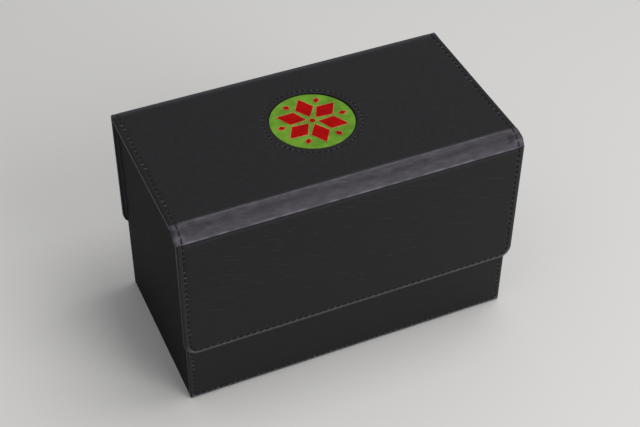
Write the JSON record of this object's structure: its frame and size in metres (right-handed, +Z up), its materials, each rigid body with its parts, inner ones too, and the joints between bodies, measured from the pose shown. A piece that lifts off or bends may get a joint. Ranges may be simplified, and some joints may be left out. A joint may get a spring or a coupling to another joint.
{
  "type": "dice storage chest",
  "caption": "Leatherette storage chest with a flip-back lid, a magnetic front flap, a partitioned top compartment and two partitioned drawers.",
  "frame": {"origin": "middle of the chest's footprint, on the surface that it stands on", "axes": "+Z up; the front flap and the drawers face -Y; the chest is longest along X"},
  "size_m": [0.185, 0.1, 0.118],
  "materials": {
    "leatherette": "black leatherette, fine pebble grain, satin",
    "fold_leather": "black leatherette, creased, satin",
    "board": "dense fibreboard, raw",
    "drawer_board": "fibreboard wrapped in black paper, matt",
    "velvet": "black short-pile velvet",
    "suede_paper": "black suede-finish lining",
    "base_felt": "black felt",
    "nylon": "black nylon strip",
    "steel": "nickel-plated",
    "stud_metal": "polished",
    "emblem_green": "green soft vinyl, satin",
    "emblem_red": "red soft vinyl, satin"
  },
  "bodies": {
    "casing": {"base_skin": "base_felt", "base_board": "board", "left_wall": "board", "right_wall": "board", "back_wall": "board", "casing_cover": "leatherette", "catch_magnets": "steel", "front_rail": "board", "rail_cover": "leatherette", "rail_strikes": "steel", "drawer_shelf": "board", "lower_slide_strips": "nylon", "middle_slide_strips": "nylon", "compartment_floor": "board", "front_wall": "board", "front_wall_cover": "leatherette", "compartment_lining": "velvet", "back_flap_cover": "leatherette", "back_flap_board": "board", "rear_fold_casing": "fold_leather", "compartment_partition_1": "velvet", "compartment_partition_2": "velvet"},
    "lid": {"lid_cover": "leatherette", "lid_board": "board", "lid_lining": "suede_paper", "lid_inner_panel": "velvet", "emblem_disc": "emblem_green", "emblem_motif": "emblem_red", "rear_fold_lid": "fold_leather", "front_fold_lid": "fold_leather"},
    "front_flap": {"flap_cover": "leatherette", "flap_board": "board", "flap_lining": "suede_paper", "flap_magnets": "steel", "front_fold_flap": "fold_leather"},
    "lower_drawer": {"lower_front_board": "board", "lower_front_cover": "leatherette", "lower_floor": "drawer_board", "lower_left_side": "drawer_board", "lower_right_side": "drawer_board", "lower_back": "drawer_board", "lower_lining": "velvet", "lower_long_partition": "velvet", "lower_cross_partition_1": "velvet", "lower_cross_partition_2": "velvet", "lower_cross_partition_3": "velvet", "lower_catch_plate": "steel"},
    "middle_drawer": {"middle_front_board": "board", "middle_front_cover": "leatherette", "middle_floor": "drawer_board", "middle_left_side": "drawer_board", "middle_right_side": "drawer_board", "middle_back": "drawer_board", "middle_lining": "velvet", "middle_cross_partition_1": "velvet", "middle_cross_partition_2": "velvet", "middle_catch_plate": "steel", "middle_pull_tab": "fold_leather", "middle_pull_stud": "stud_metal"}
  },
  "joints": [
    {"name": "lid_hinge", "type": "hinge", "parent": "casing", "child": "lid", "pos_m": [0, 0.049, 0.117], "axis": [-1, 0, 0], "range_deg": [0, 175]},
    {"name": "flap_hinge", "type": "hinge", "parent": "lid", "child": "front_flap", "pos_m": [0, -0.047, 0.115], "axis": [-1, 0, 0], "range_deg": [0, 175]},
    {"name": "lower_drawer_slide", "type": "slide", "parent": "casing", "child": "lower_drawer", "axis": [0, -1, 0], "range_m": [0, 0.06]},
    {"name": "middle_drawer_slide", "type": "slide", "parent": "casing", "child": "middle_drawer", "axis": [0, -1, 0], "range_m": [0, 0.06]}
  ],
  "couplings": [
    {"joint": "middle_drawer_slide", "follows": "flap_hinge", "m_per_rad": 0.019}
  ]
}
